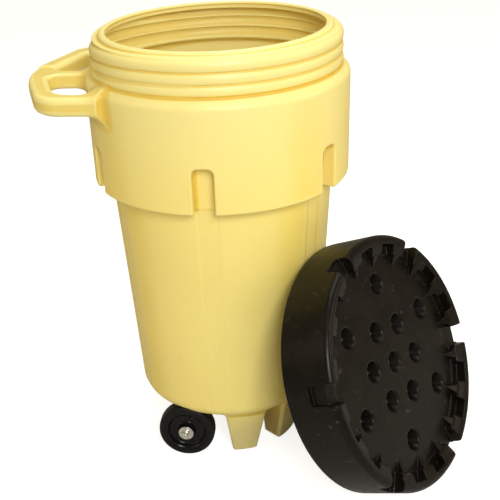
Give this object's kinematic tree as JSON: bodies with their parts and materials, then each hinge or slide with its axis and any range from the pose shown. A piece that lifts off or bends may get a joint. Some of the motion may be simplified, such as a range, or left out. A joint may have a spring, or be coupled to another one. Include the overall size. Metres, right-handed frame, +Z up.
{
  "type": "overpack salvage drum",
  "caption": "Wheeled yellow overpack salvage drum with a moulded pull handle and its black screw lid leaning on it.",
  "frame": {"origin": "on the drum's axis at floor level", "axes": "+Z up along the drum's axis, +X to the front feet, -X to the pull handle, the wheel axle along Y"},
  "size_m": [1.1032, 0.8373, 1.1],
  "materials": {
    "yellow_poly": "satin moulded polyethylene",
    "black_poly": "satin moulded polyethylene, lightly scuffed",
    "gasket_rubber": "closed-cell foam rubber",
    "black_hub": "semi-gloss",
    "black_tyre": "smooth solid rubber",
    "nylon": "plain nylon",
    "zinc_steel": "zinc plated"
  },
  "bodies": {
    "drum": {"drum_shell": "yellow_poly", "axle": "zinc_steel", "inner_washer_right": "zinc_steel", "outer_washer_right": "zinc_steel", "cotter_pin_right": "zinc_steel", "inner_washer_left": "zinc_steel", "outer_washer_left": "zinc_steel", "cotter_pin_left": "zinc_steel"},
    "wheel_right": {"wheel_hub_right": "black_hub", "tyre_right": "black_tyre", "wheel_bush_right": "nylon"},
    "wheel_left": {"wheel_hub_left": "black_hub", "tyre_left": "black_tyre", "wheel_bush_left": "nylon"},
    "lid": {"lid_shell": "black_poly", "lid_gasket": "gasket_rubber"}
  },
  "joints": [
    {"name": "wheel_right_spin", "type": "hinge", "parent": "drum", "child": "wheel_right", "pos_m": [-0.098, -0.1824, 0.074], "axis": [0, 1, 0], "continuous": true},
    {"name": "wheel_left_spin", "type": "hinge", "parent": "drum", "child": "wheel_left", "pos_m": [-0.098, 0.1824, 0.074], "axis": [0, 1, 0], "continuous": true},
    {"name": "lid_lift", "type": "slide", "parent": "drum", "child": "lid", "axis": [0.8097, -0.4305, 0.3987], "range_m": [0, 0.4]}
  ]
}
